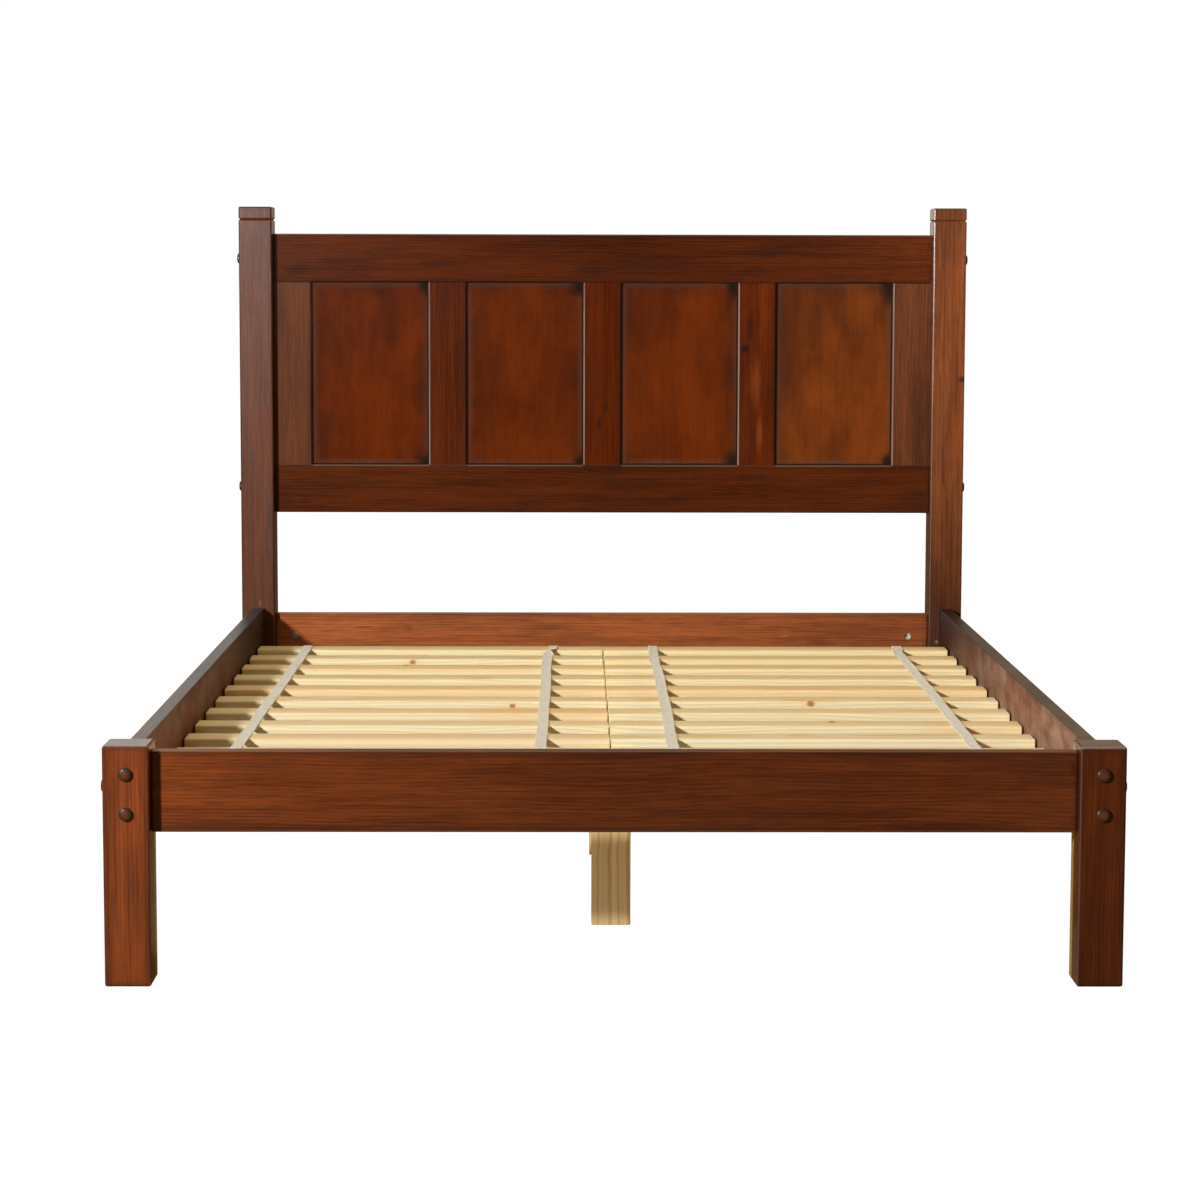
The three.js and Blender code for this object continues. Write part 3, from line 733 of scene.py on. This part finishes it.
def cap_brown():
    """Glossy dark brown of the button caps, worn redder on the crown."""
    fitting = bpy.context.scene.bed_fittings
    material, finish = new_finish("cap_brown")
    wear = finish.noise(finish.place, (160, 160, 160), 3.0, 0.6)
    out = finish.node("Attribute", {"attribute_name": "out"}, {}, "Fac")
    paint = finish.mix(wear.ramp(0.35, 0.75), fitting.cap, toned(fitting.cap, 1.4))
    paint = finish.mix((out + (wear - 0.5) * 0.3).fade(0.38, 0.66, 0.9), paint, fitting.crown)
    finish.surface(paint, 0.24 + wear * 0.12, wear, 0.05 * MM)
    return material


def zinc_plate():
    """Dull zinc plating of nuts, screws and staples."""
    fitting = bpy.context.scene.bed_fittings
    material, finish = new_finish("zinc_plate")
    spots = finish.noise(finish.place, (420, 420, 420), 3.0, 0.6)
    plating = finish.mix(spots.ramp(0.3, 0.8), fitting.zinc, toned(fitting.zinc, 0.55))
    finish.surface(plating, 0.32 + spots * 0.2, spots, 0.05 * MM, {"Metallic": 0.40})
    return material


def shared(make):
    """The material that a function makes, made on first use."""
    return bpy.data.materials.get(make.__name__) or make()


def piece_from(form, name, materials):
    """Turns a finished bmesh into an object at the origin, smooth but for its sharp edges."""
    mesh = bpy.data.meshes.new(name)
    form.normal_update()
    form.to_mesh(mesh)
    form.free()
    for material in materials:
        mesh.materials.append(material)
    mesh.shade_smooth()
    mesh.set_sharp_from_angle(angle=SMOOTH_BELOW)
    piece = bpy.data.objects.new(name, mesh)
    bpy.context.scene.collection.objects.link(piece)
    return piece


def round_edges(form, edges, radius, segments):
    bmesh.ops.bevel(form, geom=edges, offset=radius, offset_type="OFFSET", segments=segments, profile=0.5,
                    affect="EDGES", material=-1, clamp_overlap=True)


def turned(form, profile):
    """Spins a profile of (radius, distance along Y) into a closed turned shape."""
    verts = [form.verts.new((radius, along, 0)) for radius, along in profile]
    edges = [form.edges.new(pair) for pair in zip(verts, verts[1:])]
    fitting = bpy.context.scene.bed_fittings
    bmesh.ops.spin(form, geom=verts + edges, cent=(0, 0, 0), axis=(0, 1, 0), angle=2 * math.pi,
                   steps=fitting.round_steps, use_merge=True)
    bmesh.ops.remove_doubles(form, verts=form.verts, dist=1e-6)
    bmesh.ops.recalc_face_normals(form, faces=form.faces)
    layer = form.verts.layers.float.new("out")
    for vert in form.verts:
        vert[layer] = math.hypot(vert.co.x, vert.co.z) / (fitting.cap_diameter / 2)


# Steps of a cap's crown and shoulder, and what stays open between a cap and its post
CROWN_STEPS = 4
SHOULDER_STEPS = 8
CAP_GAP = 0.05 * MM
# Rounding of a barrel nut's rims, slope and depth of its socket, and chamfer of a shank's end
NUT_ROUNDING = 0.7 * MM
SOCKET_SLOPE = 0.2 * MM
SOCKET_DEPTH = 4 * MM
SHANK_CHAMFER = 1 * MM


def cap_profile(cover):
    """A button cap from its crown on the axis over its shoulder to its rim, standing off towards -Y."""
    fitting = bpy.context.scene.bed_fittings
    radius = fitting.cap_diameter / 2 + cover
    top = fitting.cap_rise + cover
    flat = radius - fitting.cap_shoulder
    profile = []
    for step in range(CROWN_STEPS + 1):
        out = flat * step / CROWN_STEPS
        profile.append((out, fitting.cap_crown * (out / flat) ** 2 - top))
    for step in range(1, SHOULDER_STEPS + 1):
        turn = step / SHOULDER_STEPS * math.pi / 2
        down = fitting.cap_crown + fitting.cap_shoulder * (1 - math.cos(turn))
        profile.append((flat + fitting.cap_shoulder * math.sin(turn), down - top))
    return profile


def barrel_nut(form, at, face):
    """A barrel nut across a bolt that runs along Y, with a socket in the face that looks along X."""
    fitting = bpy.context.scene.bed_fittings
    before = set(form.faces)
    place = Matrix.Translation((0, at, 0)) @ Matrix.Rotation(math.pi / 2, 4, "Y")
    made = bmesh.ops.create_cone(form, cap_ends=True, segments=fitting.round_steps, radius1=fitting.nut / 2,
                                 radius2=fitting.nut / 2, depth=fitting.nut_length, matrix=place)
    rims = [edge for edge in {edge for vert in made["verts"] for edge in vert.link_edges}
            if abs(edge.verts[0].co.x - edge.verts[1].co.x) < 1e-6]
    round_edges(form, rims, NUT_ROUNDING, 2)
    ends = [one for one in form.faces if one not in before and one.normal.x * face > 0.99]
    end = max(ends, key=lambda one: one.calc_area())
    bmesh.ops.inset_individual(form, faces=[end], thickness=fitting.nut / 2 - NUT_ROUNDING - fitting.nut_socket)
    bmesh.ops.inset_individual(form, faces=[end], thickness=SOCKET_SLOPE, depth=-SOCKET_DEPTH)


def bolt(name, start, turn, inner, post, with_cap):
    """A bed bolt with its barrel nut. Without a cap it starts inside the rail."""
    fitting = bpy.context.scene.bed_fittings
    rotation = Matrix.Rotation(turn, 4, "Z")
    face = 1 if (rotation.to_3x3() @ Vector((1, 0, 0))).dot(inner) > 0 else -1
    nut_at = post + fitting.nut_setback
    end = nut_at + fitting.shank_overhang
    form = bmesh.new()
    if with_cap:
        profile = cap_profile(0) + [(fitting.cap_diameter / 2, -CAP_GAP), (fitting.shank / 2, -CAP_GAP)]
    else:
        profile = [(0, 0), (fitting.shank / 2, 0)]
    profile += [(fitting.shank / 2, end - SHANK_CHAMFER), (fitting.shank / 2 - SHANK_CHAMFER, end), (0, end)]
    turned(form, profile)
    barrel_nut(form, nut_at, face)
    for one in form.faces:
        one.material_index = 0 if one.calc_center_median().y < 0 else 1
    form.transform(Matrix.Translation(start) @ rotation)
    piece = piece_from(form, name, [shared(cap_brown), shared(zinc_plate)])
    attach(piece, "frame")
    return piece


class BED_OT_stain(bpy.types.Operator):
    """Stain and lacquer the posts, rails and headboard"""

    bl_idname = "bed.stain"
    bl_label = "Stained boards"

    def execute(self, context):
        for seed, (node, (run, tones, redness)) in enumerate(STAINED.items(), 1):
            dress(node, stained_board(node, run, tones, redness, seed))
        for number, node in enumerate(PANELS):
            dress(node, stained_panel(number, number + 31))
        return {"FINISHED"}


class BED_OT_pine(bpy.types.Operator):
    """Finish the raw pine of ledgers, beam, cleats and legs"""

    bl_idname = "bed.pine"
    bl_label = "Raw supports"

    def execute(self, context):
        boards = (("side_ledger_left", "y"), ("side_ledger_right", "y"), ("center_beam", "y"),
                  ("beam_cleat_foot", "x"), ("beam_cleat_head", "x"))
        for seed, (node, run) in enumerate(boards, 51):
            dress(node, rough_pine(node, run, seed))
        for number in range(1, 4):
            dress(f"support_leg_{number}", laminated_pine(f"support_leg_{number}", number))
        return {"FINISHED"}


class BED_OT_slats(bpy.types.Operator):
    """Make the slats with rounded edges, uneven ends and a slight bow"""

    bl_idname = "bed.slats"
    bl_label = "Slats"

    def execute(self, context):
        pine = context.scene.bed_pine
        finish = slat_pine()
        draw = random.Random(7)
        for node in SLAT_NAMES:
            low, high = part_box(node)
            word = node.split("_")[1]
            inner_cut = draw.uniform(0, pine.slat_short) - pine.slat_long
            outer_cut = draw.uniform(0, pine.slat_short)
            left_cut, right_cut = (outer_cut, inner_cut) if word == "left" else (inner_cut, outer_cut)
            low.x += left_cut
            high.x -= right_cut
            bow = draw.uniform(-pine.slat_bow, pine.slat_bow)
            form = bmesh.new()
            size = high - low
            middle = (low + high) / 2
            bmesh.ops.create_cube(form, size=1, matrix=Matrix.Translation(middle) @ Matrix.Diagonal((*size, 1)))
            long_edges = [edge for edge in form.edges if abs(edge.verts[0].co.x - edge.verts[1].co.x) > 0.1]
            round_edges(form, long_edges, pine.slat_ease, 4)
            end_edges = [edge for one in form.faces if abs(one.normal.x) > 0.9 for edge in one.edges]
            round_edges(form, end_edges, pine.end_ease, 1)
            for part in range(1, SLAT_PARTS):
                bmesh.ops.bisect_plane(form, geom=form.verts[:] + form.edges[:] + form.faces[:], dist=1e-7,
                                       plane_co=(low.x + size.x * part / SLAT_PARTS, 0, 0), plane_no=(1, 0, 0))
            for vert in form.verts:
                along = (vert.co.x - middle.x) / (size.x / 2)
                vert.co.y += bow * (0.5 - along * along)
            piece = piece_from(form, node.replace("slat_", "eased_slat_"), [finish])
            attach(piece, f"slat_mat_{word}")
            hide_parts(node)
        return {"FINISHED"}


def lean_at(tape, along):
    """How far a tape lies off its solid's middle, at a share of its length from the foot end."""
    foot_lean, head_lean = STRAP_LEANS[tape]
    return foot_lean + (head_lean - foot_lean) * along


class BED_OT_straps(bpy.types.Operator):
    """Lay the woven tapes over the slats"""

    bl_idname = "bed.straps"
    bl_label = "Straps"

    def execute(self, context):
        strap = context.scene.bed_straps
        finish = woven_tape()
        first_low, first_high, pitch = slat_rows()
        start, top = first_low.y, first_high.z
        slat_width = first_high.y - start
        for seed, node in enumerate(STRAP_NAMES, 1):
            low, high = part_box(node)
            draw = random.Random(seed)
            phases = [draw.uniform(0, 6.28) for wave in range(3)]
            form = bmesh.new()
            bmesh.ops.create_grid(form, x_segments=TAPE_PARTS[0], y_segments=TAPE_PARTS[1], size=0.5)
            for vert in form.verts:
                side, along = vert.co.x, vert.co.y + 0.5
                y = low.y + (high.y - low.y) * along
                past_slat = (y - start) % pitch - slat_width
                sag = strap.sag * math.sin(math.pi * past_slat / (pitch - slat_width)) if past_slat > 0 else 0
                waves = (part * math.sin(y * turn + phase) for (turn, part), phase in zip(TAPE_WAVES, phases))
                drift = strap.drift * sum(waves) + lean_at(node, along)
                width = high.x - low.x
                lift = abs(strap.ruffle * math.sin(y * RUFFLE_TURN + phases[2])) * (side * 2) ** 2
                for at, step, kept in STRAP_KINKS[node]:
                    kinked = math.exp(-((y - at) / KINK_LENGTH) ** 2)
                    drift += step / (1 + math.exp((at - y) / KINK_STEP))
                    width *= 1 - (1 - kept) * kinked
                    lift += KINK_FOLD * abs(1 - kept) * kinked * (side + 0.5)
                x = (low.x + high.x) / 2 + side * width + drift
                vert.co = (x, y, top + strap.clearance + strap.thickness / 2 - sag + lift)
            bmesh.ops.recalc_face_normals(form, faces=form.faces)
            bmesh.ops.solidify(form, geom=form.faces[:], thickness=strap.thickness)
            lowest = min(vert.co.z for vert in form.verts if (vert.co.y - start) % pitch < slat_width * 0.8)
            bmesh.ops.translate(form, verts=form.verts, vec=(0, 0, top + strap.clearance - lowest))
            bmesh.ops.recalc_face_normals(form, faces=form.faces)
            piece = piece_from(form, node.replace("strap_", "woven_strap_"), [finish])
            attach(piece, f"slat_mat_{node.split('_')[1]}")
            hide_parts(node)
        return {"FINISHED"}


class BED_OT_staples(bpy.types.Operator):
    """Staple each tape to each slat"""

    bl_idname = "bed.staples"
    bl_label = "Staples"

    def execute(self, context):
        strap = context.scene.bed_straps
        finish = shared(zinc_plate)
        draw = random.Random(3)
        for word in ("left", "right"):
            form = bmesh.new()
            for number in range(1, SLAT_COUNT + 1):
                slat = f"slat_{word}_{number:02d}"
                for place in ("inner", "outer"):
                    tape = f"strap_{word}_{place}"
                    lean = lean_at(tape, (number - 0.5) / SLAT_COUNT)
                    off_x, off_y = (draw.uniform(-far, far) for far in STAPLE_SCATTER)
                    middle = (middle_of(tape).x + lean + off_x, middle_of(slat).y + off_y,
                              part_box(slat)[1].z + strap.clearance + strap.thickness + strap.staple_wire * 0.3)
                    turn = Matrix.Rotation(draw.uniform(-STAPLE_TURN, STAPLE_TURN), 4, "Z")
                    size = Matrix.Diagonal((strap.staple, strap.staple_wire, strap.staple_wire, 1))
                    made = bmesh.ops.create_cube(form, size=1, matrix=Matrix.Translation(middle) @ turn @ size)
                    edges = list({edge for vert in made["verts"] for edge in vert.link_edges})
                    round_edges(form, edges, strap.staple_wire * 0.3, 1)
            piece = piece_from(form, f"staples_{word}", [finish])
            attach(piece, f"slat_mat_{word}")
        return {"FINISHED"}


class BED_OT_bolts(bpy.types.Operator):
    """Make the six bed bolts of the foot end and the hidden shanks and nuts of the head end"""

    bl_idname = "bed.bolts"
    bl_label = "Bed bolts and barrel nuts"

    def execute(self, context):
        for word, side in SIDES:
            low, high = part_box(f"foot_post_{word}")
            post, size = middle_of(f"foot_post_{word}"), high - low
            inward = Vector((-side, 0, 0))
            for level in ("upper", "lower"):
                node = f"side_rail_bolt_{word}_{level}"
                start = Vector((post.x, low.y, middle_of(node).z))
                piece = bolt("fine_" + node, start, 0, inward, size.y, True)
                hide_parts(node)
                start.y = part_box(f"side_rail_{word}")[1].y
                bolt(f"side_rail_head_nut_{word}_{level}", start, math.pi, inward, 0, False)
            node = f"foot_rail_bolt_{word}"
            start = Vector((low.x if side < 0 else high.x, post.y, middle_of(node).z))
            piece = bolt("fine_" + node, start, side * math.pi / 2, Vector((0, 1, 0)), size.x, True)
            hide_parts(node)
            start = middle_of("head_rail")
            start.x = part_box("head_rail")[0 if side < 0 else 1].x
            bolt(f"head_rail_nut_{word}", start, side * math.pi / 2, Vector((0, -1, 0)), 0, False)
        return {"FINISHED"}


# How far the upper outer caps lie below the headboard's top and below its openings, and how far the rear caps
# lie above and below the side rail's middle
CAP_DROPS = (50 * MM, 45 * MM)
CAP_SPREAD = 29 * MM


class BED_OT_head_caps(bpy.types.Operator):
    """Make the ten button caps of the head posts"""

    bl_idname = "bed.head_caps"
    bl_label = "Head post caps"

    def execute(self, context):
        fitting = context.scene.bed_fittings
        levels = (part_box("headboard_top_rail")[1].z - CAP_DROPS[0],
                  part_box("headboard_bottom_rail")[1].z - CAP_DROPS[1], middle_of("head_rail").z)
        rail_middle = middle_of("side_rail_left").z
        for word, side in SIDES:
            low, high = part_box(f"foot_post_{word}")
            post = middle_of(f"foot_post_{word}")
            outer = low.x if side < 0 else high.x
            spots = [((outer, -post.y, level), side * math.pi / 2) for level in levels]
            spots += [((post.x, -low.y, rail_middle + way * CAP_SPREAD), math.pi) for way in (-1, 1)]
            for number, (place, turn) in enumerate(spots, 1):
                form = bmesh.new()
                profile = cap_profile(fitting.cap_cover)
                profile += [(profile[-1][0], fitting.cap_sink), (0, fitting.cap_sink)]
                turned(form, profile)
                form.transform(Matrix.Translation(place) @ Matrix.Rotation(turn, 4, "Z"))
                piece = piece_from(form, f"head_post_cap_{word}_{number}", [shared(cap_brown)])
                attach(piece, "frame")
        return {"FINISHED"}


# Screws of a ledger, how far a cleat's screws lie in from its ends and edges, and how deep a head's middle is
LEDGER_SCREWS = 7
CLEAT_INSET = (13 * MM, 14 * MM)
SCREW_DEPTH = 0.5 * MM
# Sides of a screw's head, its depth and that of the recess in it
HEAD_SIDES = 16
HEAD_DEPTH = 1.6 * MM
RECESS_DEPTH = 0.9 * MM


def screw_head(form, at, way):
    """A countersunk screw head in a face at that point that looks along "way"."""
    fitting = bpy.context.scene.bed_fittings
    place = Matrix.Translation(at) @ way.to_track_quat("Z", "Y").to_matrix().to_4x4()
    made = bmesh.ops.create_cone(form, cap_ends=True, segments=HEAD_SIDES, radius1=fitting.screw_head / 4,
                                 radius2=fitting.screw_head / 2, depth=HEAD_DEPTH, matrix=place)
    tops = [one for one in {one for vert in made["verts"] for one in vert.link_faces}
            if len(one.verts) == HEAD_SIDES and one.normal.dot(way) > 0.9]
    bmesh.ops.inset_individual(form, faces=tops, thickness=fitting.screw_head / 3.2, depth=-RECESS_DEPTH)


class BED_OT_screws(bpy.types.Operator):
    """Drive the screws of ledgers and cleats"""

    bl_idname = "bed.screws"
    bl_label = "Screws"

    def execute(self, context):
        finish = shared(zinc_plate)
        form = bmesh.new()
        for word, side in SIDES:
            low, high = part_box(f"side_ledger_{word}")
            face = high.x if side < 0 else low.x
            for number in range(LEDGER_SCREWS):
                y = low.y + (high.y - low.y) * (number + 0.5) / LEDGER_SCREWS
                at = Vector((face + side * SCREW_DEPTH, y, (low.z + high.z) / 2))
                screw_head(form, at, Vector((-side, 0, 0)))
        for word, way in (("foot", 1), ("head", -1)):
            low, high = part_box(f"beam_cleat_{word}")
            face = high.y if way > 0 else low.y
            for x in (low.x + CLEAT_INSET[0], high.x - CLEAT_INSET[0]):
                for z in (low.z + CLEAT_INSET[1], high.z - CLEAT_INSET[1]):
                    screw_head(form, Vector((x, face - way * SCREW_DEPTH, z)), Vector((0, way, 0)))
        piece = piece_from(form, "support_screws", [finish])
        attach(piece, "frame")
        return {"FINISHED"}


def aimed_light(name, place, size, strength, paint, target, reach):
    """A square light. One with a reach is as bright everywhere as at that distance, like a far lamp."""
    light = bpy.data.lights.new(name, "AREA")
    if reach:
        light.use_nodes = True
        finish = Finish(light.node_tree)
        even = finish.node("LightFalloff", {}, {"Strength": 1 / reach ** 2}, "Constant")
        finish.node("OutputLight", {}, {"Surface": finish.node("Emission", {}, {"Strength": even})})
    light.shape = "SQUARE"
    light.size = size
    light.energy = strength
    light.color = paint
    holder = bpy.data.objects.new(name, light)
    way = Vector(target) - Vector(place)
    holder.matrix_world = Matrix.Translation(place) @ way.to_track_quat("-Z", "Y").to_matrix().to_4x4()
    bpy.context.scene.collection.objects.link(holder)


def white_room(studio):
    """White to the eye and in reflections from behind, dim for the light that falls on the front."""
    world = bpy.data.worlds.new("white_room")
    world.use_nodes = True
    finish = Finish(world.node_tree)
    way = finish.node("TexCoord", {}, {}, "Generated")
    x, y, z = finish.axes(way)
    spread = y.ramp(-0.45, 0.45, studio.front, 1.0)
    seen = finish.ray("Camera")
    mirrored = finish.ray("Glossy")
    backdrop = finish.mix(x.ramp(-0.10, 0.10), studio.mirror_left, studio.mirror_right)
    unseen = finish.mix(mirrored, studio.room, backdrop)
    sides = abs(x).ramp(0.045, 0.105) * z.ramp(-0.10, -0.06) * studio.side_sheen
    strength = seen + (1 - seen) * (spread + mirrored * (sides + studio.front_sheen))
    colors = finish.mix(seen, unseen, (1, 1, 1))
    background = finish.node("Background", {}, {"Color": colors, "Strength": strength})
    finish.node("OutputWorld", {}, {"Surface": background})
    bpy.context.scene.world = world


# Half the floor's side, and from where to where the part under the bed fades out, in X and in Y
FLOOR_SIZE = 40
UNDER_BED = ((0.60, 0.66), (0.90, 0.96))


def floor_paper(studio):
    """Paper that looks evenly white and scatters more light under the bed than around it."""
    material, finish = new_finish("floor_paper")
    grain = finish.noise(finish.place, (300, 300, 300), 2.0)
    seen = finish.ray("Camera")
    x, y = finish.axes(finish.place)[:2]
    under = abs(x).fade(*UNDER_BED[0]) * abs(y).fade(*UNDER_BED[1])
    tone = finish.mix(seen.most(under * finish.ray("Diffuse")), studio.floor_bounce, studio.floor)
    paper = finish.node("BsdfDiffuse", {}, {"Color": tone, "Normal": finish.bump(grain, 0.05 * MM)})
    glow = finish.node("Emission", {}, {"Color": (1, 1, 1, 1), "Strength": 1.10})
    shown = finish.node("MixShader", {}, {0: seen * studio.floor_glow, 1: paper, 2: glow})
    finish.node("OutputMaterial", {}, {"Surface": shown})
    return material


class BED_OT_studio(bpy.types.Operator):
    """Set up the camera, the lights, the white room and the floor"""

    bl_idname = "bed.studio"
    bl_label = "Studio"

    def execute(self, context):
        studio = context.scene.bed_studio
        camera = bpy.data.cameras.new("camera")
        camera.lens = studio.lens
        camera.sensor_width = 36
        eye = bpy.data.objects.new("camera", camera)
        tilt = Matrix.Rotation(studio.yaw, 4, "Z") @ Matrix.Rotation(math.pi / 2 - studio.pitch, 4, "X")
        eye.matrix_world = Matrix.Translation(studio.eye) @ tilt @ Matrix.Rotation(studio.roll, 4, "Z")
        context.scene.collection.objects.link(eye)
        context.scene.camera = eye
        aimed_light("key_light", studio.key, studio.key_size, studio.key_power, (1, 1, 1), (0, 0, 0.4),
                    studio.key_reach)
        aimed_light("top_light", studio.top, studio.top_size, studio.top_power, studio.top_color, (0.2, 0.3, 0), 0)
        white_room(studio)
        form = bmesh.new()
        bmesh.ops.create_grid(form, x_segments=1, y_segments=1, size=FLOOR_SIZE)
        floor = piece_from(form, "floor", [floor_paper(studio)])
        context.scene.view_settings.view_transform = "Standard"
        return {"FINISHED"}


STEPS = (BED_OT_studio, BED_OT_stain, BED_OT_pine, BED_OT_slats, BED_OT_straps, BED_OT_staples, BED_OT_bolts,
         BED_OT_head_caps, BED_OT_screws)
SETTINGS = (
    ("bed_stain", StainSettings),
    ("bed_pine", PineSettings),
    ("bed_straps", StrapSettings),
    ("bed_fittings", FittingSettings),
    ("bed_studio", StudioSettings),
)


class BED_PT_panel(bpy.types.Panel):
    """Lists the steps that dress the bed, and their settings"""

    bl_idname = "BED_PT_panel"
    bl_label = "Platform Bed"
    bl_space_type = "VIEW_3D"
    bl_region_type = "UI"
    bl_category = "Bed"

    def draw(self, context):
        for step in STEPS:
            self.layout.operator(step.bl_idname)
        for name, group in SETTINGS:
            box = self.layout.box()
            box.label(text=group.__doc__)
            for field in group.__annotations__:
                box.prop(getattr(context.scene, name), field)


def register():
    for name, group in SETTINGS:
        bpy.utils.register_class(group)
        setattr(bpy.types.Scene, name, PointerProperty(type=group))
    for step in STEPS:
        bpy.utils.register_class(step)
    bpy.utils.register_class(BED_PT_panel)


def unregister():
    bpy.utils.unregister_class(BED_PT_panel)
    for step in reversed(STEPS):
        bpy.utils.unregister_class(step)
    for name, group in reversed(SETTINGS):
        delattr(bpy.types.Scene, name)
        bpy.utils.unregister_class(group)


def main():
    register()
    for step in STEPS:
        getattr(bpy.ops.bed, step.bl_idname.split(".")[1])()


if __name__ == "__main__":
    main()
